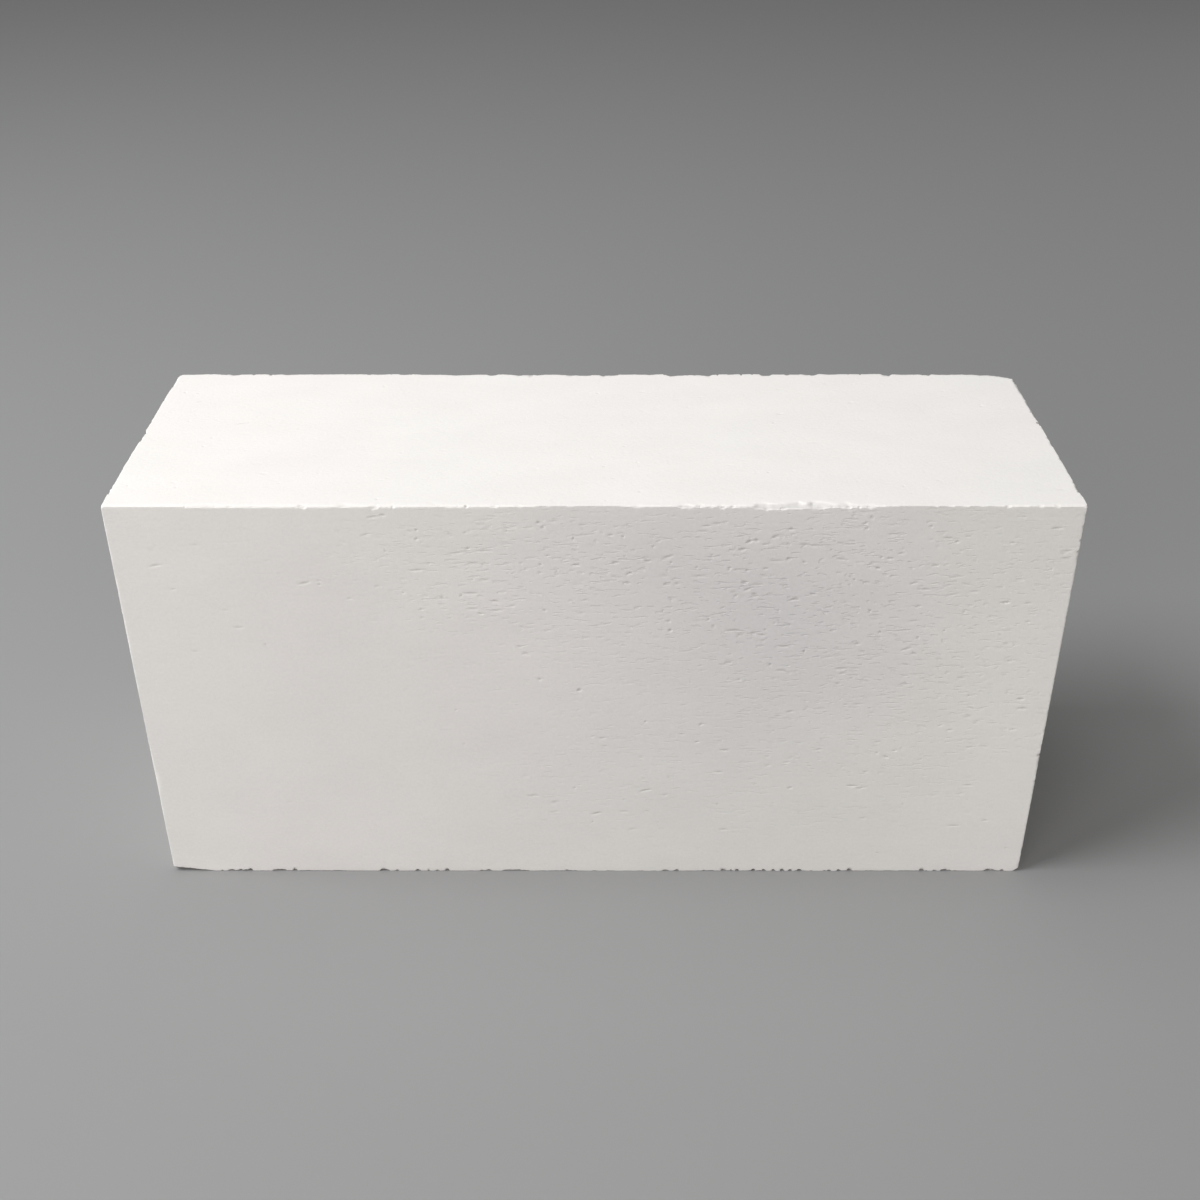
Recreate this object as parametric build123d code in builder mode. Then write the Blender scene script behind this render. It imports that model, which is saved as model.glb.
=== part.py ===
from build123d import *

import os

# A gymnastics chalk block: one solid piece of light magnesium carbonate, pressed into a slab,
# dried and sawn square. It stands on one of its long narrow faces, as it is stored and sold.
# X runs along its length, Y through its thickness and Z up; the origin is the middle of the base.

# Driving dimensions, in millimetres.
LENGTH = 104.0
THICKNESS = 35.0
HEIGHT = 50.8
ARRIS = 0.25  # width that the saw and handling crumble off each sharp edge

FRONT = -THICKNESS / 2
BACK = THICKNESS / 2
LEFT = -LENGTH / 2
RIGHT = LENGTH / 2

# Corners worn off by handling: the corner, and how far the wear reaches along X, Y and Z.
WORN_CORNERS = [
    ((RIGHT, BACK, HEIGHT), (2.6, 1.7, 1.1)),
    ((LEFT, BACK, HEIGHT), (0.9, 0.9, 0.7)),
    ((RIGHT, FRONT, HEIGHT), (0.7, 0.8, 0.6)),
    ((LEFT, FRONT, 0), (4.2, 1.6, 0.5)),
    ((RIGHT, BACK, 0), (1.4, 1.2, 1.0)),
    ((RIGHT, FRONT, 0), (0.9, 0.8, 0.7)),
    ((LEFT, BACK, 0), (1.1, 1.3, 1.6)),
]

# Chips in the arrises, as (place along the edge, length along the edge, depth from the sharp edge).
FRONT_TOP_CHIPS = [(-30.7, 2.2, 0.4), (-9.0, 3.6, 0.35), (10.2, 2.2, 0.45), (19.5, 4.5, 0.55), (27.0, 3.5, 0.5)]
BACK_TOP_CHIPS = [(-12.7, 1.6, 0.4), (2.0, 2.4, 0.4), (10.4, 3.0, 0.5), (21.5, 2.6, 0.45), (36.5, 2.0, 0.4)]
FRONT_BASE_CHIPS = [(-38.4, 2.2, 0.4), (-25.9, 1.4, 0.4), (-10.0, 3.8, 0.45), (24.0, 2.6, 0.4), (48.0, 1.6, 0.4)]
BACK_BASE_CHIPS = [(-33.0, 4.2, 0.7), (-6.0, 2.8, 0.5), (29.0, 3.6, 0.6)]
LEFT_TOP_CHIPS = [(-1.3, 2.8, 0.55)]
RIGHT_TOP_CHIPS = [(-1.0, 5.0, 0.4), (12.0, 2.0, 0.4)]
RIGHT_UPRIGHT_CHIPS = [(17.8, 1.8, 0.4), (45.3, 1.6, 0.4)]
LEFT_UPRIGHT_CHIPS = [(27.0, 2.4, 0.45)]

# Each chipped edge, as (point at place 0, direction of the edge, way out of the edge, chips).
CHIPPED_EDGES = [
    (Vector(0, FRONT, HEIGHT), Vector(1, 0, 0), Vector(0, -1, 1), FRONT_TOP_CHIPS),
    (Vector(0, BACK, HEIGHT), Vector(1, 0, 0), Vector(0, 1, 1), BACK_TOP_CHIPS),
    (Vector(0, FRONT, 0), Vector(1, 0, 0), Vector(0, -1, -1), FRONT_BASE_CHIPS),
    (Vector(0, BACK, 0), Vector(1, 0, 0), Vector(0, 1, -1), BACK_BASE_CHIPS),
    (Vector(LEFT, 0, HEIGHT), Vector(0, 1, 0), Vector(-1, 0, 1), LEFT_TOP_CHIPS),
    (Vector(RIGHT, 0, HEIGHT), Vector(0, 1, 0), Vector(1, 0, 1), RIGHT_TOP_CHIPS),
    (Vector(RIGHT, FRONT, 0), Vector(0, 0, 1), Vector(1, -1, 0), RIGHT_UPRIGHT_CHIPS),
    (Vector(LEFT, BACK, 0), Vector(0, 0, 1), Vector(-1, 1, 0), LEFT_UPRIGHT_CHIPS),
]


def wear_plane(corner, reach):
    """The plane that cuts a corner back by the given reach along X, Y and Z."""
    signs = [1 if corner[0] > 0 else -1, 1 if corner[1] > 0 else -1, 1 if corner[2] > 0 else -1]
    start = Vector(*corner) - Vector(signs[0] * reach[0], 0, 0)
    outward = Vector(*[sign / distance for sign, distance in zip(signs, reach)])
    return Plane(origin=start, z_dir=outward)


def chip_ball(edge_point, along, outward, place, length, depth):
    """The plane and radius of the ball whose cap is one shell-shaped chip in an edge."""
    radius = (length**2 / 4 + depth**2) / (2 * depth)
    out = outward.normalized()
    centre = edge_point + along * place + out * (radius - depth)
    return Plane(origin=centre, x_dir=out, z_dir=along), radius


with BuildPart() as chalk_block:
    with BuildSketch(Plane.XY):
        Rectangle(LENGTH, THICKNESS)
    extrude(amount=HEIGHT)
    chamfer(chalk_block.edges(), length=ARRIS)

    for corner, reach in WORN_CORNERS:
        split(bisect_by=wear_plane(corner, reach), keep=Keep.BOTTOM)

    for edge_point, along, outward, chips in CHIPPED_EDGES:
        for place, length, depth in chips:
            ball_plane, ball_radius = chip_ball(edge_point, along, outward, place, length, depth)
            with Locations(ball_plane):
                Sphere(ball_radius, mode=Mode.SUBTRACT)

chalk_block.part.label = "chalk_block"

os.makedirs("parts", exist_ok=True)
export_step(chalk_block.part, "parts/chalk_block.step")

box = chalk_block.part.bounding_box()
print(f"chalk_block: {box.size.X:.2f} x {box.size.Y:.2f} x {box.size.Z:.2f} mm")
print(f"volume {chalk_block.part.volume / 1000:.2f} cm3, valid {chalk_block.part.is_valid}")
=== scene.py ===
import math

import bpy
import numpy as np
from mathutils import Matrix, Vector


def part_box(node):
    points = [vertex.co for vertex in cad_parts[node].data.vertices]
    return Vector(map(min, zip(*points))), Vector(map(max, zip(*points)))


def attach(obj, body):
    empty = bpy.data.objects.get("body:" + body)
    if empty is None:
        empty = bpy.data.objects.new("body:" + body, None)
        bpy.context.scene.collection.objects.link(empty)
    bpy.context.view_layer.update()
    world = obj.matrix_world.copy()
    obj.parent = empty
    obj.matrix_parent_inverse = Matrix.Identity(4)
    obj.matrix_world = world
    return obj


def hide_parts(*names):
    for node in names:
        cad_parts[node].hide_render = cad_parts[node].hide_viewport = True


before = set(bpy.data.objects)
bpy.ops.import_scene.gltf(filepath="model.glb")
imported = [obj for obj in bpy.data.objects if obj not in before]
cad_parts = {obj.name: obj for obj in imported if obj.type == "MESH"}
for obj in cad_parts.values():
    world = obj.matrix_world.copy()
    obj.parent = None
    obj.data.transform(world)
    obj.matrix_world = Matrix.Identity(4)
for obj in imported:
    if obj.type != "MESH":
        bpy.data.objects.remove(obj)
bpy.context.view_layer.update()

# A gymnastics chalk block: pressed magnesium carbonate with sawn faces, pits and saw nicks,
# crumbled arrises and worn corners. The surface is worked out in millimetres on a fine lattice
# laid over the six faces of the CAD block, and then thinned out where it is nearly flat.

MM = 0.001
X, Y, Z = 0, 1, 2
LOW, HIGH = [np.array(corner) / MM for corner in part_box("chalk_block")]
SIZE = HIGH - LOW

FINE = 0.1  # finest spacing of surface points
LEVELS = 4  # times that the spacing may double where the surface is flat
CORE = 2.5  # depth of the untouched core, from which the surface is measured outwards
NO_LIMIT = 9.0  # further than any ray from the core reaches

# The most that a flat patch of the mesh may leave out of the surface, on the faces that are seen
# closest, and on the others.
FLATNESS = {(Y, -1): 0.014, (Z, 1): 0.022}
OTHER_FLATNESS = 0.040
SHARP_FROM = 38  # degrees between two facets that don't shade into each other

# How far each pair of opposite sawn faces is out of flat, in long swells and in shorter ripples,
# and how wide those are.
SWELLS = {X: 0.02, Y: 0.02, Z: 0.03}
RIPPLES = {X: 0.01, Y: 0.01, Z: 0.02}
SWELL_WIDTH, RIPPLE_WIDTH = 26.0, 6.0
LEFT_END_LEAN = 0.25  # how far the left end leans in at its foot

COARSE = 2**LEVELS
STEPS = [COARSE * round(size / (FINE * COARSE)) for size in SIZE]

# Each edge of the block: the axis it runs along, and its side on the other two axes.
EDGES = {
    "front_top": (X, -1, 1),
    "back_top": (X, 1, 1),
    "front_base": (X, -1, -1),
    "back_base": (X, 1, -1),
    "left_top": (Y, -1, 1),
    "right_top": (Y, 1, 1),
    "left_base": (Y, -1, -1),
    "right_base": (Y, 1, -1),
    "front_left": (Z, -1, -1),
    "front_right": (Z, 1, -1),
    "back_left": (Z, -1, 1),
    "back_right": (Z, 1, 1),
}

# How far each arris is crumbled back from the sharp edge, how uneven that is, and which way the
# bevel faces, in degrees from the first of the edge's two faces to the second.
CRISP = {
    "front_top": (0.09, 0.05, 65),
    "back_top": (0.05, 0.08, 62),
    "front_base": (0.02, 0.03, 50),
    "back_base": (0.12, 0.10, 45),
    "left_top": (0.05, 0.05, 40),
    "right_top": (0.07, 0.06, 40),
    "left_base": (0.12, 0.08, 45),
    "right_base": (0.12, 0.08, 45),
    "front_left": (0.06, 0.03, 45),
    "front_right": (0.06, 0.04, 45),
    "back_left": (0.08, 0.05, 45),
    "back_right": (0.08, 0.05, 45),
}

# Stretches of an arris that are rubbed down more than the rest of it, or less: edge, middle, half
# length, extra depth.
RUBBED = [
    ("front_top", -31.0, 24.0, 0.05),
    ("front_top", -1.5, 9.0, -0.09),
    ("front_top", 9.6, 1.0, 0.18),
    ("front_top", 13.0, 3.5, 0.05),
    ("front_top", 20.8, 5.0, 0.25),
    ("front_top", 17.7, 1.0, 0.12),
    ("front_top", 23.0, 2.6, 0.09),
    ("front_top", 26.4, 0.7, 0.14),
    ("front_top", 28.2, 2.2, 0.10),
    ("front_top", 32.0, 3.0, -0.06),
    ("front_top", 39.0, 13.0, -0.09),
    ("front_top", 44.8, 1.2, 0.10),
    ("back_top", -51.5, 3.5, 0.12),
    ("back_top", -44.9, 0.7, 0.12),
    ("back_top", -38.0, 1.2, 0.06),
    ("back_top", -26.8, 0.9, 0.14),
    ("back_top", -23.8, 0.9, 0.12),
    ("back_top", -17.5, 6.5, 0.10),
    ("back_top", -12.8, 0.8, 0.26),
    ("back_top", -4.8, 8.0, 0.24),
    ("back_top", 1.7, 1.2, 0.22),
    ("back_top", 5.0, 3.0, 0.07),
    ("back_top", 10.0, 1.5, 0.46),
    ("back_top", 12.9, 2.2, 0.26),
    ("back_top", 21.2, 0.9, 0.36),
    ("back_top", 23.8, 3.0, 0.09),
    ("back_top", 26.9, 1.2, 0.20),
    ("back_top", 29.4, 1.2, 0.10),
    ("back_top", 36.3, 0.8, 0.30),
    ("back_top", 38.6, 3.0, 0.07),
    ("back_top", 41.3, 0.7, 0.25),
    ("back_top", 46.2, 5.0, 0.16),
    ("back_top", 50.5, 2.0, 0.12),
    ("right_top", 14.5, 2.5, 0.12),
    ("right_top", 9.5, 8.0, 0.12),
    ("right_top", 5.5, 2.2, 0.10),
    ("right_top", -13.5, 1.1, 0.10),
    ("right_top", -17.0, 2.9, -0.12),
    ("left_top", -6.8, 4.2, -0.05),
    ("left_top", -14.6, 1.9, -0.05),
    ("left_top", 5.0, 3.5, 0.03),
    ("left_top", 14.5, 2.5, 0.10),
    ("back_base", -30.0, 6.0, 0.15),
    ("back_base", 25.0, 9.0, 0.10),
    ("back_left", 30.0, 5.0, 0.10),
    ("front_left", 14.0, 5.0, 0.08),
]

# Small chips in each millimetre of an edge, on the edges that are listed and on the others, and
# the stretches that have more of them: edge, start, end, how many more in each millimetre.
CHIPS_PER_MM = {
    "front_top": 0.08,
    "back_top": 0.5,
    "front_base": 0.04,
    "front_left": 0.0,
    "front_right": 0.0,
}
OTHER_CHIPS_PER_MM = 0.3
CRUMBLED = [
    ("front_base", -46.8, -42.9, 0.7),
    ("front_base", -39.5, -36.5, 0.8),
    ("front_base", -26.5, -23.4, 1.0),
    ("front_base", -22.2, -17.8, 0.3),
    ("front_base", -14.0, -10.0, 0.6),
    ("front_base", -3.8, -1.2, 1.2),
    ("front_base", 8.3, 15.0, 0.7),
    ("front_base", 15.0, 25.4, 0.5),
    ("front_base", 27.0, 31.8, 1.0),
    ("front_base", 40.0, 44.4, 1.1),
    ("front_base", 47.4, 50.4, 1.3),
    ("back_top", 8.0, 26.0, 0.5),
]

# Most chips are flat shells, but those in the edges listed here are round bites. The radius of
# the hollow is given in depths of the chip.
BITTEN = ["front_base"]
SHELL_RADIUS, BITE_RADIUS = 2.8, 1.1

# How far a typical small chip reaches into the crumbled arris and along it, and the most that one
# does.
SMALL_CHIP_DEPTH, DEEPEST_SMALL_CHIP = 0.13, 0.36
SMALL_CHIP_LENGTH, LONGEST_SMALL_CHIP = 0.42, 1.4
CLEAR_OF_CORNER = 0.6  # no random chip is closer to a corner than this

# The larger chips: edge, place along it, length, depth, and lean towards the second face (-1 to 1).
CHIPS = [
    ("front_top", -30.7, 1.6, 0.32, -0.3),
    ("front_top", -23.2, 1.4, 0.29, -0.4),
    ("front_top", -21.2, 0.5, 0.20, 0.6),
    ("front_top", -14.4, 0.8, 0.20, -0.2),
    ("front_top", -10.4, 1.2, 0.18, -0.2),
    ("front_top", 9.7, 1.1, 0.25, -0.2),
    ("front_top", 12.4, 0.5, 0.24, 0.3),
    ("front_top", 13.5, 1.0, 0.23, -0.3),
    ("front_top", 14.7, 0.7, 0.22, -0.2),
    ("front_top", 17.8, 1.6, 0.26, 0.0),
    ("front_top", 22.9, 2.0, 0.20, -0.1),
    ("front_top", 24.9, 1.1, 0.20, -0.2),
    ("front_top", 26.8, 0.9, 0.25, -0.2),
    ("front_top", 28.0, 0.7, 0.20, -0.2),
    ("front_top", 29.1, 1.1, 0.27, -0.1),
    ("front_top", 43.9, 1.6, 0.17, -0.2),
    ("front_top", 49.0, 0.8, 0.16, 0.0),
    ("back_top", -12.7, 1.2, 0.36, 0.2),
    ("back_top", 2.1, 2.2, 0.34, 0.3),
    ("back_top", 9.8, 1.8, 0.46, 0.2),
    ("back_top", 11.3, 1.2, 0.44, 0.4),
    ("back_top", 14.1, 0.9, 0.38, 0.2),
    ("back_top", 21.5, 1.5, 0.42, 0.3),
    ("back_top", 24.0, 0.8, 0.34, 0.0),
    ("back_top", 36.6, 1.2, 0.34, 0.2),
    ("back_top", 41.6, 0.9, 0.32, 0.2),
    ("back_top", -44.4, 0.6, 0.26, 0.2),
    ("front_base", -42.8, 1.5, 0.34, 0.8),
    ("front_base", -38.6, 2.0, 0.32, 0.8),
    ("front_base", -36.9, 0.5, 0.34, 0.8),
    ("front_base", -25.9, 1.0, 0.38, 0.8),
    ("front_base", -21.7, 0.55, 0.34, 0.2),
    ("front_base", -20.4, 0.50, 0.28, 0.2),
    ("front_base", -19.4, 0.50, 0.28, 0.2),
    ("front_base", -18.2, 0.60, 0.31, 0.2),
    ("front_base", -13.0, 0.7, 0.22, 0.8),
    ("front_base", -9.6, 3.2, 0.22, 0.8),
    ("front_base", 9.9, 0.7, 0.32, 0.8),
    ("front_base", 15.6, 1.1, 0.32, 0.8),
    ("front_base", 17.4, 0.6, 0.32, 0.4),
    ("front_base", 19.4, 0.7, 0.36, 0.6),
    ("front_base", 20.7, 0.5, 0.32, 0.3),
    ("front_base", 21.9, 0.5, 0.30, 0.3),
    ("front_base", 23.0, 0.5, 0.32, 0.3),
    ("front_base", 24.0, 0.5, 0.30, 0.3),
    ("front_base", 25.1, 0.5, 0.34, 0.3),
    ("front_base", 31.2, 0.7, 0.40, 0.8),
    ("front_base", 40.1, 0.9, 0.38, 0.8),
    ("front_base", 42.9, 1.0, 0.32, 0.8),
    ("front_base", 48.6, 1.4, 0.30, 0.8),
    ("left_top", 0.5, 1.2, 0.46, -0.8),
    ("left_top", -0.8, 2.4, 0.26, -0.8),
    ("left_top", -13.2, 1.0, 0.18, 0.0),
    ("left_top", 15.8, 1.1, 0.26, 0.0),
    ("right_top", -14.1, 0.7, 0.32, -0.7),
    ("right_top", 12.0, 2.2, 0.24, 0.0),
    ("front_right", 46.6, 0.5, 0.22, 0.3),
    ("front_right", 45.2, 0.4, 0.24, 0.3),
    ("front_right", 17.8, 0.7, 0.26, 0.2),
    ("front_right", 14.0, 0.4, 0.18, 0.2),
    ("back_base", -33.0, 3.6, 0.60, 0.3),
    ("back_base", -6.0, 2.4, 0.42, 0.0),
    ("back_base", 29.0, 3.2, 0.50, -0.3),
    ("back_left", 27.0, 2.2, 0.40, 0.2),
    ("back_right", 38.0, 1.6, 0.36, 0.0),
    ("left_base", 5.0, 2.6, 0.44, 0.2),
    ("right_base", -7.0, 2.2, 0.40, 0.0),
    ("right_base", 9.5, 1.6, 0.36, 0.3),
]

# Worn corners: the corner's sides, and how far the wear reaches along X, Y and Z.
CORNERS = [
    ((1, 1, 1), (4.6, 1.8, 0.62)),
    ((1, 1, 1), (1.5, 1.9, 1.2)),
    ((1, 1, 1), (0.6, 2.8, 0.7)),
    ((-1, 1, 1), (0.9, 0.9, 0.7)),
    ((-1, 1, 1), (0.4, 1.8, 0.4)),
    ((1, -1, 1), (0.30, 0.40, 0.30)),
    ((-1, -1, 1), (0.35, 0.5, 0.35)),
    ((-1, -1, -1), (5.4, 1.9, 0.75)),
    ((-1, -1, -1), (0.6, 0.8, 0.7)),
    ((1, -1, -1), (0.7, 0.8, 0.6)),
    ((1, 1, -1), (1.4, 1.2, 1.0)),
    ((-1, 1, -1), (1.1, 1.3, 1.6)),
]

# Marks on the front face, chosen one by one: across, up, length, height, depth, tilt in degrees.
FRONT_PITS = [
    (-47.3, 43.5, 1.8, 0.30, 0.06, 12),
    (-45.9, 40.5, 0.9, 0.28, 0.05, 8),
    (-47.4, 45.4, 0.7, 0.28, 0.04, 0),
    (-42.7, 46.0, 0.9, 0.50, 0.04, 0),
    (-44.6, 32.4, 1.2, 0.26, 0.05, 0),
    (-40.5, 37.8, 0.9, 0.28, 0.04, 0),
    (-39.4, 35.6, 1.5, 0.26, 0.06, 0),
    (-36.6, 33.3, 0.3, 0.40, 0.06, 0),
    (-31.5, 41.3, 1.6, 0.32, 0.08, 12),
    (-29.9, 41.6, 0.8, 0.26, 0.04, 5),
    (-24.3, 47.3, 1.2, 0.26, 0.05, 12),
    (-22.4, 45.3, 0.28, 0.28, 0.09, 0),
    (-23.3, 49.5, 1.6, 0.40, 0.07, 6),
    (-22.3, 49.7, 0.7, 0.34, 0.09, -6),
    (-23.5, 40.9, 0.9, 0.26, 0.05, 0),
    (-18.9, 47.9, 0.35, 0.28, 0.11, 0),
    (-19.6, 47.8, 0.7, 0.26, 0.05, 0),
    (-18.9, 46.8, 0.45, 0.34, 0.09, 0),
    (-19.2, 42.9, 1.3, 0.28, 0.07, 5),
    (-17.7, 43.8, 0.3, 0.30, 0.06, 0),
    (-14.5, 45.1, 2.6, 0.26, 0.06, 8),
    (-13.5, 45.6, 0.5, 0.30, 0.09, 0),
    (-11.8, 45.3, 1.8, 0.24, 0.06, 3),
    (-13.1, 43.8, 1.5, 0.30, 0.07, 8),
    (-15.4, 47.4, 0.7, 0.26, 0.06, 0),
    (-12.0, 48.6, 0.9, 0.26, 0.05, 0),
    (-11.5, 48.0, 0.8, 0.26, 0.05, 0),
    (-9.2, 48.1, 0.9, 0.26, 0.05, 4),
    (-5.9, 48.8, 0.6, 0.32, 0.10, 0),
    (-5.4, 48.2, 0.5, 0.32, 0.08, -20),
    (-4.3, 49.0, 1.4, 0.26, 0.05, 5),
    (-2.2, 46.8, 0.3, 0.32, 0.11, 0),
    (-1.9, 43.6, 0.8, 0.28, 0.11, 0),
    (-5.9, 42.6, 0.5, 0.26, 0.06, 0),
    (-4.0, 42.4, 0.7, 0.26, 0.05, 0),
    (-11.9, 41.7, 1.2, 0.32, 0.06, 4),
    (-13.5, 40.0, 1.8, 0.26, 0.08, -3),
    (-14.5, 39.7, 0.3, 0.30, 0.09, 0),
    (-12.4, 39.6, 0.8, 0.26, 0.06, -10),
    (-10.8, 39.0, 1.0, 0.28, 0.08, 4),
    (-16.6, 39.4, 0.5, 0.50, 0.06, 20),
    (-13.4, 38.0, 1.4, 0.36, 0.06, 0),
    (-12.5, 37.4, 0.7, 0.28, 0.09, -8),
    (-19.0, 37.9, 0.6, 0.26, 0.06, 6),
    (-8.9, 38.4, 0.7, 0.26, 0.05, 0),
    (-5.4, 37.8, 0.5, 0.30, 0.08, 0),
    (-8.0, 35.6, 0.6, 0.28, 0.05, 0),
    (-1.5, 37.5, 1.2, 0.26, 0.06, 0),
    (-1.0, 34.2, 0.8, 0.26, 0.07, 0),
    (-8.4, 33.0, 0.8, 0.26, 0.06, 0),
    (-7.7, 32.1, 0.9, 0.32, 0.08, 8),
    (-6.2, 28.6, 0.5, 0.40, 0.10, 0),
    (-1.7, 27.1, 0.6, 0.45, 0.13, 8),
    (3.1, 47.1, 0.35, 0.28, 0.11, 0),
    (6.4, 45.9, 0.35, 0.34, 0.09, 0),
    (4.2, 45.4, 0.6, 0.26, 0.06, 0),
    (5.8, 44.1, 0.8, 0.30, 0.13, -5),
    (2.3, 43.9, 0.8, 0.28, 0.11, 0),
    (3.9, 42.6, 0.6, 0.30, 0.14, 0),
    (3.6, 41.3, 0.9, 0.28, 0.09, -8),
    (2.2, 42.1, 0.6, 0.30, 0.06, 0),
    (8.0, 44.6, 1.2, 0.28, 0.09, 14),
    (9.0, 41.2, 0.7, 0.45, 0.07, 0),
    (7.6, 42.1, 1.2, 0.26, 0.05, 0),
    (11.4, 42.2, 1.8, 0.26, 0.06, 3),
    (12.0, 48.4, 1.2, 0.24, 0.06, 0),
    (11.5, 47.7, 1.2, 0.24, 0.07, 0),
    (16.6, 46.5, 0.8, 0.36, 0.15, 20),
    (17.3, 46.6, 0.7, 0.34, 0.10, -4),
    (19.3, 47.0, 0.9, 0.28, 0.09, 15),
    (18.5, 46.2, 1.4, 0.26, 0.06, 8),
    (15.9, 45.5, 0.9, 0.34, 0.13, 18),
    (21.0, 48.0, 0.6, 0.34, 0.10, 0),
    (22.5, 46.1, 1.2, 0.26, 0.08, 0),
    (23.6, 46.0, 1.4, 0.24, 0.08, 0),
    (20.8, 46.2, 0.6, 0.28, 0.07, 0),
    (14.6, 43.2, 0.5, 0.28, 0.10, 0),
    (15.6, 43.0, 1.4, 0.26, 0.07, 6),
    (16.5, 42.9, 0.5, 0.32, 0.12, 0),
    (20.9, 44.3, 0.5, 0.45, 0.09, 20),
    (22.6, 43.9, 0.5, 0.30, 0.08, 0),
    (19.6, 44.1, 2.0, 0.22, 0.06, 0),
    (18.5, 43.1, 0.8, 0.26, 0.08, 12),
    (16.3, 41.4, 0.8, 0.30, 0.10, 0),
    (17.7, 41.1, 1.4, 0.26, 0.07, 0),
    (16.7, 40.5, 1.0, 0.28, 0.09, 22),
    (15.5, 39.7, 0.5, 0.30, 0.08, 15),
    (17.5, 39.9, 0.8, 0.50, 0.08, 0),
    (21.9, 39.3, 1.1, 0.28, 0.12, 6),
    (23.8, 39.9, 0.9, 0.28, 0.12, 0),
    (8.2, 36.4, 0.7, 0.36, 0.08, 6),
    (8.4, 35.2, 0.45, 0.34, 0.15, 14),
    (15.3, 35.2, 2.0, 0.26, 0.10, 5),
    (13.2, 35.7, 0.4, 0.50, 0.07, 0),
    (18.6, 34.6, 0.9, 0.28, 0.10, 0),
    (17.6, 34.8, 0.6, 0.28, 0.07, 0),
    (16.2, 34.6, 0.8, 0.26, 0.06, 0),
    (21.0, 33.1, 1.6, 0.26, 0.09, 0),
    (23.4, 32.4, 0.35, 0.32, 0.13, 0),
    (15.0, 30.9, 1.0, 0.30, 0.10, 0),
    (19.7, 30.6, 0.45, 0.50, 0.08, 0),
    (21.0, 29.8, 1.2, 0.26, 0.08, 0),
    (27.8, 30.1, 1.6, 0.28, 0.10, 2),
    (28.0, 29.4, 1.2, 0.26, 0.08, 10),
    (27.5, 28.0, 0.8, 0.36, 0.06, 0),
    (29.3, 33.4, 0.7, 0.30, 0.10, 0),
    (31.6, 34.9, 0.5, 0.30, 0.11, 0),
    (29.9, 32.4, 0.8, 0.26, 0.06, 5),
    (30.6, 43.2, 0.6, 0.28, 0.13, 0),
    (31.8, 44.4, 0.8, 0.28, 0.10, 5),
    (29.4, 49.4, 0.5, 0.50, 0.08, 20),
    (28.8, 48.7, 0.6, 0.28, 0.10, 10),
    (32.1, 47.4, 2.2, 0.24, 0.07, 3),
    (33.0, 45.0, 1.0, 0.28, 0.07, 10),
    (26.4, 46.3, 0.9, 0.26, 0.06, 0),
    (26.6, 44.3, 1.2, 0.26, 0.07, -8),
    (26.4, 42.6, 0.7, 0.26, 0.06, 5),
    (37.8, 46.9, 1.2, 0.28, 0.10, -4),
    (38.8, 46.5, 0.5, 0.30, 0.12, -8),
    (39.9, 47.1, 0.8, 0.26, 0.07, 0),
    (44.7, 46.3, 0.7, 0.26, 0.08, 0),
    (49.2, 48.1, 1.2, 0.26, 0.09, 3),
    (36.7, 43.5, 1.0, 0.26, 0.08, 4),
    (36.1, 40.5, 1.3, 0.24, 0.08, 0),
    (41.4, 40.2, 1.2, 0.28, 0.06, 0),
    (44.9, 38.8, 1.2, 0.28, 0.12, 3),
    (47.4, 38.7, 1.2, 0.24, 0.06, 0),
    (47.8, 36.3, 0.7, 0.26, 0.08, 0),
    (46.1, 41.8, 1.0, 0.26, 0.06, 0),
    (35.5, 38.3, 0.7, 0.28, 0.09, 10),
    (39.0, 39.8, 2.0, 0.24, 0.05, 12),
    (35.9, 34.2, 0.40, 0.36, 0.11, 0),
    (34.8, 32.7, 1.5, 0.30, 0.08, 18),
    (35.7, 32.1, 0.7, 0.26, 0.09, 0),
    (35.0, 36.4, 1.0, 0.26, 0.06, 0),
    (45.8, 33.4, 0.9, 0.45, 0.05, 0),
    (46.5, 31.1, 0.8, 0.26, 0.07, 0),
    (41.3, 28.8, 1.0, 0.26, 0.06, -4),
    (35.0, 29.1, 0.9, 0.26, 0.06, 0),
    (35.1, 28.0, 0.9, 0.26, 0.07, 0),
    (48.5, 25.9, 1.0, 0.30, 0.12, 0),
    (48.9, 24.6, 1.5, 0.26, 0.10, 0),
    (42.8, 23.4, 1.1, 0.26, 0.06, 0),
    (43.1, 24.6, 1.0, 0.26, 0.06, -8),
    (43.9, 22.8, 0.7, 0.26, 0.07, 0),
    (41.0, 21.5, 0.6, 0.30, 0.08, 0),
    (48.3, 21.6, 0.8, 0.28, 0.08, 5),
    (32.8, 19.8, 0.8, 0.28, 0.07, 0),
    (32.9, 18.2, 0.5, 0.26, 0.08, 0),
    (34.0, 17.6, 0.9, 0.30, 0.10, -14),
    (31.8, 15.4, 0.7, 0.28, 0.08, 0),
    (30.4, 13.3, 1.4, 0.28, 0.13, -2),
    (31.2, 12.9, 0.7, 0.28, 0.09, -10),
    (44.1, 13.4, 1.3, 0.28, 0.08, 0),
    (45.2, 19.2, 1.6, 0.24, 0.05, 0),
    (43.6, 19.0, 0.8, 0.26, 0.06, 10),
    (43.1, 7.2, 1.6, 0.28, 0.08, 0),
    (46.8, 8.0, 1.0, 0.28, 0.08, 0),
    (32.1, 8.4, 0.9, 0.26, 0.06, 0),
    (22.4, 24.1, 0.9, 0.34, 0.07, 8),
    (21.1, 23.5, 0.9, 0.26, 0.06, 0),
    (12.3, 22.3, 0.6, 0.36, 0.09, 14),
    (10.1, 20.9, 0.7, 0.26, 0.08, 0),
    (11.9, 19.8, 0.6, 0.28, 0.06, 0),
    (15.1, 18.6, 1.2, 0.28, 0.10, 0),
    (14.5, 15.4, 1.4, 0.26, 0.07, 0),
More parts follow.
